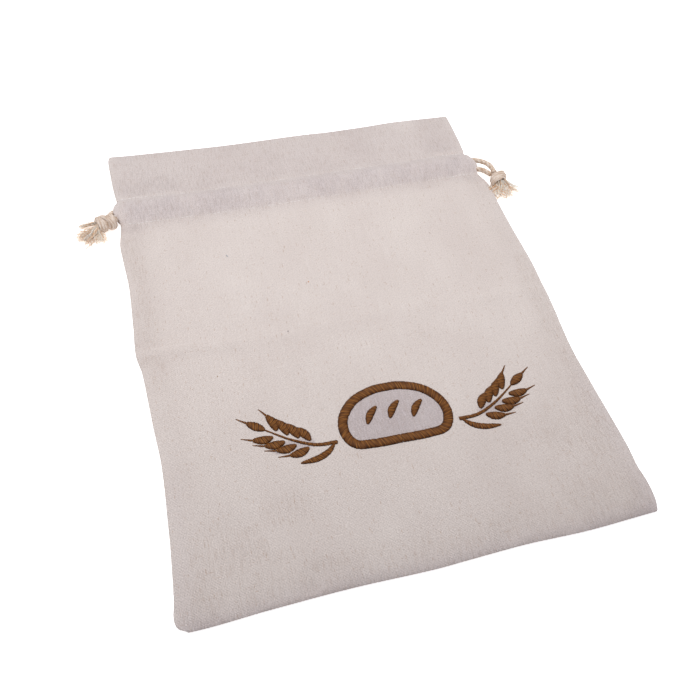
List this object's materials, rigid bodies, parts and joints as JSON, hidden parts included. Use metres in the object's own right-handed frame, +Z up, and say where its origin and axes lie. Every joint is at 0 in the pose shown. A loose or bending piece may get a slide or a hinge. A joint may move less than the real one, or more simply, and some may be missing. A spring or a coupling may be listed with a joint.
{
  "type": "linen bread bag",
  "caption": "Flat linen drawstring bag for bread, with a plain header above a stitched casing, a knotted and frayed cord at each side, and an embroidered front.",
  "frame": {"origin": "under the middle of the cloth, on the surface that the bag lies on", "axes": "+X across the bag to the right, +Y along it towards the mouth, +Z up out of the embroidered front"},
  "size_m": [0.3541, 0.404, 0.0118],
  "materials": {
    "linen_cloth": "plain weave, pale warm grey with tan flecks",
    "cotton_cord": "twisted natural cotton",
    "frayed_cotton": "loose natural fibres",
    "sewing_thread": "off-white polyester-cotton",
    "brown_embroidery": "satin stitch in glossy brown thread"
  },
  "bodies": {
    "root": {"bag_cloth": "linen_cloth", "drawcord_front": "cotton_cord", "drawcord_back": "cotton_cord", "knot_left": "cotton_cord", "knot_right": "cotton_cord", "tassel_left": "frayed_cotton", "tassel_right": "frayed_cotton"}
  },
  "joints": []
}
